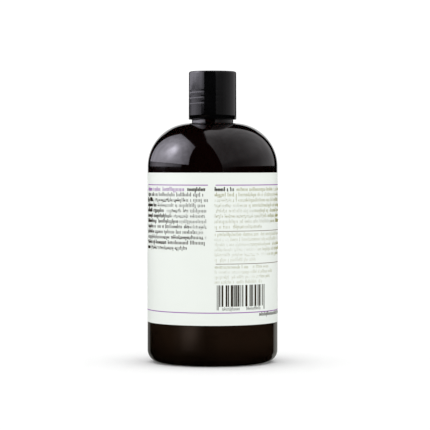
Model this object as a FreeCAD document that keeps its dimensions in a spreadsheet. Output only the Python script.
"""A 500 ml shampoo bottle: a round-shouldered PET bottle with a wrap-round label and a disc-top closure.

Frame, in millimetres: +Z is up, the origin is the middle of the face that the bottle stands on, +Y points
to the side that the closure pours from, and -Y is the back of the label. The closure is screwed down, and
its disc is shut.
"""

import FreeCAD, Part
import math
import os
from types import SimpleNamespace

import Sketcher

Vector = FreeCAD.Vector

# The driving dimensions. Radii and heights are in millimetres, angles in degrees.
SIZES = {
    # Bottle: body, base and shoulder
    "body_radius": 37.3,
    "wall_thickness": 0.8,
    "heel_radius": 7.0,
    "foot_inner_radius": 26.5,
    "push_up_radius": 24.7,
    "push_up_rim": 3.0,
    "push_up_rise": 5.5,
    "base_extra": 0.8,
    "ring_inset": 0.7,
    "dome_inset": 0.5,
    "gate_radius": 1.8,
    "gate_drop": 0.8,
    "shoulder_radius": 25.0,
    "shoulder_start": 112.0,
    # Bottle: neck finish
    "neck_root": 137.0,
    "neck_fillet": 0.35,
    "bead_radius": 11.9,
    "bead_height": 3.6,
    "bead_chamfer": 0.6,
    "neck_radius": 10.75,
    "bore_radius": 8.9,
    "bore_fillet": 2.5,
    "land_height": 153.9,
    "land_chamfer": 0.4,
    # The screw thread, shared by the neck and the closure
    "thread_pitch": 3.175,
    "thread_turns": 1.5,
    "thread_flank": 0.5,
    "thread_embed": 0.25,
    "thread_play": 0.1,
    "neck_thread_base": 146.6,
    "neck_thread_crest": 11.85,
    "neck_crest_half": 0.45,
    "shell_thread_crest": 11.05,
    "shell_crest_half": 0.35,
    "thread_reach": 1.43,
    "runout_shift": 6.0,
    "runout_clear": 0.02,
    # Contents
    "fill_height": 124.0,
    "fill_gap": 0.05,
    # Label
    "label_gap": 0.02,
    "label_thickness": 0.1,
    "label_bottom": 23.4,
    "label_top": 108.7,
    "label_lap_angle": 9.0,
    "label_lap_start": 20.0,
    # Sealing ring under the closure's deck
    "liner_thickness": 1.0,
    "liner_inner_radius": 7.0,
    "liner_outer_radius": 11.9,
    # Closure shell
    "shell_bottom": 139.0,
    "shell_top": 166.6,
    "shell_foot_radius": 13.72,
    "shell_rim_radius": 13.63,
    "shell_edge_radius": 1.0,
    "shell_bore_radius": 12.2,
    "shell_foot_chamfer": 0.25,
    "shell_mouth_chamfer": 0.5,
    "deck_thickness": 1.4,
    "well_radius": 12.0,
    "well_fillet": 0.6,
    "rim_chamfer": 0.25,
    "spout_radius": 3.0,
    "port_radius": 1.6,
    "socket_radius": 1.15,
    "socket_depth": 0.85,
    "ramp_depth": 0.35,
    "ramp_half_width": 1.1,
    "spout_height": 4.3,
    "rib_start": 2.4,
    "stop_height": 2.15,
    "stop_width": 1.0,
    "stop_inset": 2.1,
    "stop_back": 8.2,
    "stop_length": 1.4,
    "deck_rib_height": 1.2,
    "deck_rib_width": 0.8,
    # Disc
    "disc_recess": 0.3,
    "disc_radius": 11.6,
    "disc_thickness": 1.5,
    "disc_edge_chamfer": 0.4,
    "disc_under_chamfer": 0.2,
    "pivot_depth": 2.2,
    "pin_radius": 1.1,
    "pin_end": 12.75,
    "valve_radius": 5.0,
    "valve_play": 0.15,
    "valve_length": 7.2,
    "tilt_angle": 38.0,
    "nozzle_width": 6.4,
    "nozzle_reach": 10.85,
    "nozzle_depth": 3.5,
    "channel_depth": 1.1,
    "channel_start": 1.0,
    "inlet_start": 0.6,
    "inlet_length": 6.0,
    "ear_inner": 9.2,
    "ear_outer": 11.2,
    "ear_width": 4.0,
    "ear_depth": 1.8,
    "disc_rib_inset": 4.6,
    "disc_rib_width": 0.8,
    "disc_rib_depth": 0.5,
    "disc_rib_front": 3.0,
    "disc_rib_back": 10.3,
    "grip_length": 8.0,
    "grip_width": 0.8,
    "grip_height": 0.25,
    "grip_first": 5.2,
    "grip_step": 1.8,
}

GRIP_COUNT = 3
OVERLAP = 0.2  # how far a piece that is added to another starts inside it
CLEAR = 2.0  # how far a cutting tool runs past what it cuts


class Size:
    """A length as its value now and the expression that binds it to the sheet."""

    def __init__(self, value, text):
        self.value = value
        self.text = text

    def __add__(self, other):
        other = as_size(other)
        return Size(self.value + other.value, f"({self.text} + {other.text})")

    def __sub__(self, other):
        other = as_size(other)
        return Size(self.value - other.value, f"({self.text} - {other.text})")

    def __mul__(self, other):
        other = as_size(other)
        return Size(self.value * other.value, f"({self.text} * {other.text})")

    def __truediv__(self, other):
        other = as_size(other)
        return Size(self.value / other.value, f"({self.text} / {other.text})")

    def __neg__(self):
        return Size(-self.value, f"(0 - {self.text})")

    def root(self):
        """The square root of this size."""
        return Size(math.sqrt(self.value), f"sqrt({self.text})")


def as_size(number):
    """A plain number as a Size, or a Size as it is."""
    return number if isinstance(number, Size) else Size(float(number), str(float(number)))


ZERO = as_size(0)


def fill_sheet(doc):
    """Writes the driving dimensions to the sheet and returns them as Sizes, by name."""
    sheet = doc.addObject("Spreadsheet::Sheet", "Sizes")
    for row, (name, value) in enumerate(SIZES.items(), start=1):
        sheet.set(f"A{row}", name)
        sheet.set(f"B{row}", str(value))
        sheet.setAlias(f"B{row}", name)
    doc.recompute()
    return SimpleNamespace(**{name: Size(value, f"Sizes.{name}") for name, value in SIZES.items()})


def origin_plane(body, role):
    """One of a body's own origin planes, found by its role."""
    return next(feature for feature in body.Origin.OriginFeatures if feature.Role == role)


def line_to(across, up):
    """The next straight edge of an outline, by its end."""
    return SimpleNamespace(across=as_size(across), up=as_size(up), radius=None, turn=0)


def arc_to(across, up, radius, turn):
    """The next arc of an outline, by its end and radius. turn is 1 for anticlockwise and -1 for clockwise."""
    return SimpleNamespace(across=as_size(across), up=as_size(up), radius=as_size(radius), turn=turn)


def arc_centre(start, end, radius, turn):
    """The centre of the shorter arc between two points."""
    chord = end - start
    left = Vector(-chord.y, chord.x, 0).normalize()
    rise = math.sqrt(max(radius**2 - (chord.Length / 2) ** 2, 0.0))
    return (start + end) * 0.5 + left * (turn * rise)


def bound_sketch(body, name, outline):
    """A closed sketch in a body's XZ plane, with each corner and radius bound to the sheet.

    The outline's first edge starts where its last one ends. A corner at 0 across lies on the vertical axis.
    """
    sketch = body.newObject("Sketcher::SketchObject", name)
    sketch.AttachmentSupport = (origin_plane(body, "XZ_Plane"), [""])
    sketch.MapMode = "FlatFace"
    corners = [Vector(edge.across.value, edge.up.value, 0) for edge in outline]
    ends = []  # which vertex of each edge is its first and which its last
    for index, edge in enumerate(outline):
        start, end = corners[index - 1], corners[index]
        if edge.radius is None:
            sketch.addGeometry(Part.LineSegment(start, end), False)
            ends.append((1, 2))
            continue
        centre = arc_centre(start, end, edge.radius.value, edge.turn)
        first, last = (start, end) if edge.turn > 0 else (end, start)
        angles = [math.atan2(point.y - centre.y, point.x - centre.x) for point in (first, last)]
        circle = Part.Circle(centre, Vector(0, 0, 1), edge.radius.value)
        sketch.addGeometry(Part.ArcOfCircle(circle, angles[0], angles[1]), False)
        ends.append((1, 2) if edge.turn > 0 else (2, 1))

    def bind(kind, label, places, size):
        index = sketch.addConstraint(Sketcher.Constraint(kind, *places, size.value))
        sketch.renameConstraint(index, label)
        sketch.setExpression(f"Constraints.{label}", size.text)

    for index, edge in enumerate(outline):
        after = (index + 1) % len(outline)
        joint = Sketcher.Constraint("Coincident", index, ends[index][1], after, ends[after][0])
        sketch.addConstraint(joint)
    for index, edge in enumerate(outline):
        vertex = (index, ends[index][1])
        if edge.across.value == 0:
            sketch.addConstraint(Sketcher.Constraint("PointOnObject", *vertex, -2))
        else:
            bind("DistanceX", f"across{index}", (-1, 1, *vertex), edge.across)
        bind("DistanceY", f"up{index}", (-1, 1, *vertex), edge.up)
        if edge.radius is not None:
            bind("Radius", f"radius{index}", (index,), edge.radius)
    return sketch


def new_body(doc, label):
    """An empty body whose label names its file."""
    body = doc.addObject("PartDesign::Body", label)
    body.Label = label
    return body


def revolve(body, name, outline):
    """Turns an outline fully round the vertical axis."""
    sketch = bound_sketch(body, name + "_outline", outline)
    feature = body.newObject("PartDesign::Revolution", name)
    feature.Profile = sketch
    feature.ReferenceAxis = (sketch, ["V_Axis"])
    feature.Angle = 360
    body.Document.recompute()
    return feature


def bind_sizes(feature, **sizes):
    """Binds lengths of a feature to the sheet."""
    for prop, size in sizes.items():
        size = as_size(size)
        setattr(feature, prop, size.value)
        feature.setExpression(prop, size.text)


def bind_place(feature, across, along, up, rotation=FreeCAD.Rotation()):
    """Places a feature, with each coordinate bound to the sheet."""
    spot = [as_size(across), as_size(along), as_size(up)]
    feature.Placement = FreeCAD.Placement(Vector(*(size.value for size in spot)), rotation)
    for axis, size in zip("xyz", spot):
        feature.setExpression(f"Placement.Base.{axis}", size.text)


def box(body, kind, name, low, high):
    """Adds ("Additive") or cuts ("Subtractive") a box between two corners, each a triple of sizes."""
    low = [as_size(size) for size in low]
    high = [as_size(size) for size in high]
    feature = body.newObject(f"PartDesign::{kind}Box", name)
    bind_sizes(feature, Length=high[0] - low[0], Width=high[1] - low[1], Height=high[2] - low[2])
    bind_place(feature, *low)
    return feature


ALONG_Z = FreeCAD.Rotation()
ALONG_X = FreeCAD.Rotation(Vector(0, 1, 0), 90)
ALONG_MINUS_X = FreeCAD.Rotation(Vector(0, 1, 0), -90)
ALONG_Y = FreeCAD.Rotation(Vector(1, 0, 0), -90)


def cylinder(body, kind, name, start, radius, length, rotation=ALONG_Z):
    """Adds or cuts a cylinder that runs from start along its rotated Z axis."""
    feature = body.newObject(f"PartDesign::{kind}Cylinder", name)
    bind_sizes(feature, Radius=radius, Height=length)
    bind_place(feature, *start, rotation)
    return feature


def screw_thread(body, name, embedded, crest, crest_half, flank, base, pitch, turns):
    """A ridge of trapezoid section that climbs anticlockwise from +X, standing on the surface it starts in."""
    depth = crest - embedded if crest.value > embedded.value else embedded - crest
    foot_half = crest_half + flank * depth
    outline = [
        line_to(embedded, base - foot_half),
        line_to(crest, base - crest_half),
        line_to(crest, base + crest_half),
        line_to(embedded, base + foot_half),
    ]
    sketch = bound_sketch(body, name + "_section", outline)
    body.Document.recompute()
    helix = body.newObject("PartDesign::AdditiveHelix", name)
    helix.Profile = sketch
    helix.ReferenceAxis = (sketch, ["V_Axis"])
    helix.Mode = "pitch-turns-angle"
    bind_sizes(helix, Pitch=pitch, Turns=turns)
    body.Document.recompute()
    return helix


def cavity(size):
    """The corners of the bottle's inner surface, which the contents follow."""
    wall = size.wall_thickness
    return SimpleNamespace(
        centre_radius=size.body_radius - size.shoulder_radius,
        foot_radius=size.body_radius - size.heel_radius,
        side_radius=size.body_radius - wall,
        heel=size.heel_radius - wall,
        shoulder=size.shoulder_radius - wall,
        ring_radius=size.foot_inner_radius + size.ring_inset,
        dome_radius=size.push_up_radius + size.dome_inset,
        dome_rim=size.push_up_rim + wall,
        dome_top=size.push_up_rise + wall + size.base_extra,
    )


def dome_curve(reach, rise):
    """The radius of a dome that rises by rise over reach and is level in the middle."""
    return (reach * reach + rise * rise) / (rise * 2)


def make_bottle(doc, size):
    """The blow-moulded bottle, with its neck finish and screw thread."""
    body = new_body(doc, "bottle")
    inside = cavity(size)
    wall = size.wall_thickness
    roof = size.neck_root - wall
    bead_top = size.neck_root + size.bead_height
    chamfer = size.land_chamfer
    revolve(
        body,
        "bottle_shell",
        [
            line_to(ZERO, size.push_up_rise),
            arc_to(
                size.push_up_radius,
                size.push_up_rim,
                dome_curve(size.push_up_radius, size.push_up_rise - size.push_up_rim),
                -1,
            ),
            line_to(size.foot_inner_radius, ZERO),
            line_to(inside.foot_radius, ZERO),
            arc_to(size.body_radius, size.heel_radius, size.heel_radius, 1),
            line_to(size.body_radius, size.shoulder_start),
            arc_to(inside.centre_radius, size.neck_root, size.shoulder_radius, 1),
            line_to(size.bead_radius + size.neck_fillet, size.neck_root),
            arc_to(size.bead_radius, size.neck_root + size.neck_fillet, size.neck_fillet, -1),
            line_to(size.bead_radius, bead_top - size.bead_chamfer),
            line_to(size.bead_radius - size.bead_chamfer, bead_top),
            line_to(size.neck_radius, bead_top),
            line_to(size.neck_radius, size.land_height - chamfer),
            line_to(size.neck_radius - chamfer, size.land_height),
            line_to(size.bore_radius + chamfer, size.land_height),
            line_to(size.bore_radius, size.land_height - chamfer),
            line_to(size.bore_radius, roof + size.bore_fillet),
            arc_to(size.bore_radius + size.bore_fillet, roof, size.bore_fillet, 1),
            line_to(inside.centre_radius, roof),
            arc_to(inside.side_radius, size.shoulder_start, inside.shoulder, -1),
            line_to(inside.side_radius, size.heel_radius),
            arc_to(inside.foot_radius, wall, inside.heel, -1),
            line_to(inside.ring_radius, wall),
            line_to(inside.dome_radius, inside.dome_rim),
            arc_to(
                ZERO,
                inside.dome_top,
                dome_curve(inside.dome_radius, inside.dome_top - inside.dome_rim),
                1,
            ),
        ],
    )
    gate_start = size.push_up_rise - size.gate_drop
    gate_length = size.gate_drop + size.wall_thickness
    cylinder(body, "Additive", "gate_mark", (ZERO, ZERO, gate_start), size.gate_radius, gate_length)
    doc.recompute()

    screw_thread(
        body,
        "neck_thread",
        embedded=size.neck_radius - size.thread_embed,
        crest=size.neck_thread_crest,
        crest_half=size.neck_crest_half,
        flank=size.thread_flank,
        base=size.neck_thread_base,
        pitch=size.thread_pitch,
        turns=size.thread_turns,
    )
    # The ridge dies away into the neck over its first and last 25 degrees, cut off flat.
    reach = size.neck_thread_crest + CLEAR
    half = size.thread_reach
    top = size.neck_thread_base + size.thread_pitch * size.thread_turns
    box(
        body,
        "Subtractive",
        "thread_start_runout",
        (size.neck_radius, -reach, size.neck_thread_base - half),
        (reach, reach, size.neck_thread_base + half),
    )
    box(
        body,
        "Subtractive",
        "thread_end_runout",
        (-reach, -reach, top - half),
        (-size.neck_radius, reach, top + half),
    )
    doc.recompute()
    return body


def make_shampoo(doc, size):
    """The liquid, up to its fill line, a hair clear of the wall."""
    body = new_body(doc, "shampoo")
    inside = cavity(size)
    gap = size.fill_gap
    wall = size.wall_thickness
    shoulder = inside.shoulder - gap
    above = size.fill_height - size.shoulder_start
    fill_radius = inside.centre_radius + (shoulder * shoulder - above * above).root()
    revolve(
        body,
        "shampoo_volume",
        [
            line_to(ZERO, inside.dome_top + gap),
            arc_to(
                inside.dome_radius,
                inside.dome_rim + gap,
                dome_curve(inside.dome_radius, inside.dome_top - inside.dome_rim),
                -1,
            ),
            line_to(inside.ring_radius, wall + gap),
            line_to(inside.foot_radius, wall + gap),
            arc_to(inside.side_radius - gap, size.heel_radius, inside.heel - gap, 1),
            line_to(inside.side_radius - gap, size.shoulder_start),
            arc_to(fill_radius, size.fill_height, shoulder, 1),
            line_to(ZERO, size.fill_height),
        ],
    )
    return body


def tube(doc, name, outer, inner, low, high, start=ZERO, angle=as_size(360)):
    """A tube, or the part of one that spans an angle from its start, made from two cylinders."""
    solids = []
    for which, radius, spare in (("outside", outer, 0), ("inside", inner, CLEAR)):
        round_solid = doc.addObject("Part::Cylinder", f"{name}_{which}")
        bind_sizes(round_solid, Radius=radius, Height=high - low + spare * 2)
        rotation = FreeCAD.Rotation(Vector(0, 0, 1), start.value)
        bind_place(round_solid, ZERO, ZERO, low - spare, rotation)
        solids.append(round_solid)
    bind_sizes(solids[0], Angle=angle)
    ring = doc.addObject("Part::Cut", name)
    ring.Base, ring.Tool = solids
    return ring


def make_label(doc, size):
    """The wrap-round label: one sheet of film, lapped over its own start on the pouring side."""
    inner = size.body_radius + size.label_gap
    outer = inner + size.label_thickness
    wrap = tube(doc, "label_wrap", outer, inner, size.label_bottom, size.label_top)
    lap = tube(
        doc,
        "label_lap",
        outer + size.label_thickness,
        outer - size.label_thickness / 2,
        size.label_bottom,
        size.label_top,
        start=size.label_lap_start,
        angle=size.label_lap_angle,
    )
    label = doc.addObject("Part::Fuse", "label")
    label.Base, label.Tool = wrap, lap
    label.Label = "label"
    return label


def make_liner(doc, size):
    """The foam ring that seals the closure's deck on the bottle's land."""
    top = size.land_height + size.liner_thickness
    outer, inner = size.liner_outer_radius, size.liner_inner_radius
    liner = tube(doc, "cap_liner", outer, inner, size.land_height, top)
    liner.Label = "cap_liner"
    return liner


def make_shell(doc, size):
    """The closure's shell: a smooth skirt with a thread inside, and a well for the disc above its deck."""
    body = new_body(doc, "cap_shell")
    deck_bottom = size.land_height + size.liner_thickness
    deck_top = deck_bottom + size.deck_thickness
    edge = size.shell_edge_radius
    revolve(
        body,
        "shell_wall",
        [
            line_to(ZERO, deck_bottom),
            line_to(size.shell_bore_radius, deck_bottom),
            line_to(size.shell_bore_radius, size.shell_bottom + size.shell_mouth_chamfer),
            line_to(size.shell_bore_radius + size.shell_mouth_chamfer, size.shell_bottom),
            line_to(size.shell_foot_radius - size.shell_foot_chamfer, size.shell_bottom),
            line_to(size.shell_foot_radius, size.shell_bottom + size.shell_foot_chamfer),
            line_to(size.shell_rim_radius, size.shell_top - edge),
            arc_to(size.shell_rim_radius - edge, size.shell_top, edge, 1),
            line_to(size.well_radius + size.rim_chamfer, size.shell_top),
            line_to(size.well_radius, size.shell_top - size.rim_chamfer),
            line_to(size.well_radius, deck_top + size.well_fillet),
            arc_to(size.well_radius - size.well_fillet, deck_top, size.well_fillet, -1),
            line_to(ZERO, deck_top),
        ],
    )
    pivot = size.shell_top - size.disc_recess - size.pivot_depth
    rib_half = size.deck_rib_width / 2
    rib_low, rib_high = deck_top - OVERLAP, deck_top + size.deck_rib_height
    near, far = size.rib_start, size.well_radius + OVERLAP
    for name, low, high in (
        ("right", (near, -rib_half), (far, rib_half)),
        ("left", (-far, -rib_half), (-near, rib_half)),
        ("front", (-rib_half, near), (rib_half, far)),
    ):
        box(body, "Additive", f"deck_rib_{name}", (*low, rib_low), (*high, rib_high))
    for name, inner in (("right", size.stop_inset), ("left", -size.stop_inset - size.stop_width)):
        box(
            body,
            "Additive",
            f"tilt_stop_{name}",
            (inner, -size.stop_back, deck_top - OVERLAP),
            (inner + size.stop_width, size.stop_length - size.stop_back, deck_top + size.stop_height),
        )
    # The spout stands on the deck, and its top is hollowed to the valve's curve.
    spout_start = (ZERO, ZERO, deck_top - OVERLAP)
    cylinder(body, "Additive", "spout", spout_start, size.spout_radius, size.spout_height)
    seat_radius = size.valve_radius + size.valve_play
    seat_start = (-size.spout_radius - CLEAR, ZERO, pivot)
    seat_length = size.spout_radius * 2 + CLEAR * 2
    cylinder(body, "Subtractive", "valve_seat", seat_start, seat_radius, seat_length, ALONG_X)
    port_start = (ZERO, ZERO, deck_bottom - CLEAR)
    port_length = pivot - deck_bottom
    cylinder(body, "Subtractive", "spout_port", port_start, size.port_radius, port_length)
    for name, sign, rotation in (("right", 1, ALONG_X), ("left", -1, ALONG_MINUS_X)):
        socket_start = ((size.well_radius - OVERLAP) * sign, ZERO, pivot)
        socket_length = size.socket_depth + OVERLAP
        cylinder(
            body,
            "Subtractive",
            f"pivot_socket_{name}",
            socket_start,
            size.socket_radius,
            socket_length,
            rotation,
        )
        inner, outer = size.well_radius - OVERLAP, size.well_radius + size.ramp_depth
        low, high = (inner, outer) if sign > 0 else (-outer, -inner)
        box(
            body,
            "Subtractive",
            f"pivot_ramp_{name}",
            (low, -size.ramp_half_width, pivot),
            (high, size.ramp_half_width, size.shell_top + CLEAR),
        )
    doc.recompute()

    # The shell's ridge lies just under the neck's, which holds it down.
    spacing = size.neck_crest_half + size.shell_crest_half + size.thread_play
    spacing = spacing + size.thread_flank * (size.neck_thread_crest - size.shell_thread_crest)
    base = size.neck_thread_base - spacing
    screw_thread(
        body,
        "shell_thread",
        embedded=size.shell_bore_radius + size.thread_embed,
        crest=size.shell_thread_crest,
        crest_half=size.shell_crest_half,
        flank=size.thread_flank,
        base=base,
        pitch=size.thread_pitch,
        turns=size.thread_turns,
    )
    half = size.thread_reach
    climb = size.thread_pitch * size.thread_turns
    runout_radius = size.shell_bore_radius - size.runout_shift - size.runout_clear
    start_spot = (size.runout_shift, ZERO, base - half)
    end_spot = (-size.runout_shift, ZERO, base + climb - half)
    cylinder(body, "Subtractive", "shell_start_runout", start_spot, runout_radius, half * 2)
    cylinder(body, "Subtractive", "shell_end_runout", end_spot, runout_radius, half * 2)
    doc.recompute()
    return body


def make_disc(doc, size):
    """The disc that tips to pour: a plate with a valve, a nozzle and two pivot pins under it."""
    body = new_body(doc, "disc_top")
    top = size.shell_top - size.disc_recess
    under = top - size.disc_thickness
    pivot = top - size.pivot_depth
    revolve(
        body,
        "disc_plate",
        [
            line_to(ZERO, under),
            line_to(size.disc_radius - size.disc_under_chamfer, under),
            line_to(size.disc_radius, under + size.disc_under_chamfer),
            line_to(size.disc_radius, top - size.disc_edge_chamfer),
            line_to(size.disc_radius - size.disc_edge_chamfer, top),
            line_to(ZERO, top),
        ],
    )
    half_valve = size.valve_length / 2
    valve_start = (-half_valve, ZERO, pivot)
    cylinder(body, "Additive", "valve", valve_start, size.valve_radius, size.valve_length, ALONG_X)
    reach = size.disc_radius + CLEAR
    box(
        body,
        "Subtractive",
        "valve_trim",
        (-reach, -reach, top),
        (reach, reach, pivot + size.valve_radius + CLEAR),
    )
    half_nozzle = size.nozzle_width / 2
    box(
        body,
        "Additive",
        "nozzle",
        (-half_nozzle, ZERO, pivot - size.nozzle_depth),
        (half_nozzle, size.nozzle_reach, under + OVERLAP),
    )
    for name, sign in (("right", 1), ("left", -1)):
        low, high = size.ear_inner * sign, size.ear_outer * sign
        low, high = (low, high) if sign > 0 else (high, low)
        box(
            body,
            "Additive",
            f"pivot_ear_{name}",
            (low, -size.ear_width / 2, pivot - size.ear_depth),
            (high, size.ear_width / 2, under + OVERLAP),
        )
        pin_start = ((size.ear_outer - OVERLAP) * sign, ZERO, pivot)
        pin_length = size.pin_end - size.ear_outer + OVERLAP
        rotation = ALONG_X if sign > 0 else ALONG_MINUS_X
        cylinder(body, "Additive", f"pivot_pin_{name}", pin_start, size.pin_radius, pin_length, rotation)
        rib_near = size.disc_rib_inset * sign
        rib_far = (size.disc_rib_inset + size.disc_rib_width) * sign
        low, high = (rib_near, rib_far) if sign > 0 else (rib_far, rib_near)
        box(
            body,
            "Additive",
            f"disc_rib_{name}",
            (low, -size.disc_rib_back, pivot - size.disc_rib_depth),
            (high, -size.disc_rib_front, under + OVERLAP),
        )
    # The way through: in at the valve's curve, which faces the spout once the disc is tipped, and out at
    # the front.
    channel_start = (ZERO, -size.channel_start, pivot - size.channel_depth)
    channel_length = size.nozzle_reach + size.channel_start + CLEAR
    cylinder(body, "Subtractive", "channel", channel_start, size.port_radius, channel_length, ALONG_Y)
    tilt = math.radians(SIZES["tilt_angle"])
    inlet_rotation = FreeCAD.Rotation(Vector(1, 0, 0), 180 - SIZES["tilt_angle"])
    inlet_start = (
        ZERO,
        -size.inlet_start * math.sin(tilt),
        pivot - size.inlet_start * math.cos(tilt),
    )
    inlet_length = size.inlet_length
    cylinder(
        body, "Subtractive", "inlet", inlet_start, size.port_radius, inlet_length, inlet_rotation
    )
    for number in range(GRIP_COUNT):
        middle = -(size.grip_first + size.grip_step * number)
        box(
            body,
            "Additive",
            f"grip_ridge_{number + 1}",
            (-size.grip_length / 2, middle - size.grip_width / 2, top - OVERLAP),
            (size.grip_length / 2, middle + size.grip_width / 2, top + size.grip_height),
        )
    doc.recompute()
    return body


def check(doc, parts):
    """Stops before anything is written if an object failed or a sub-part isn't one sound solid."""
    for thing in doc.Objects:
        if {"Invalid", "Error"} & set(thing.State):
            raise RuntimeError(f"{thing.Name} failed: {thing.State}")
    for part in parts:
        shape = part.Shape
        if shape.isNull() or not shape.isValid() or len(shape.Solids) != 1:
            raise RuntimeError(f"{part.Label} isn't one valid solid")


def main():
    """Builds every sub-part, checks them and writes one STEP file each."""
    doc = FreeCAD.newDocument("shampoo_bottle")
    size = fill_sheet(doc)
    makers = (make_bottle, make_shampoo, make_label, make_liner, make_shell, make_disc)
    parts = [make(doc, size) for make in makers]
    doc.recompute()
    check(doc, parts)
    os.makedirs("parts", exist_ok=True)
    for part in parts:
        part.Shape.exportStep(f"parts/{part.Label}.step")
        print(f"{part.Label}: {part.Shape.Volume / 1000:.3f} ml")


main()
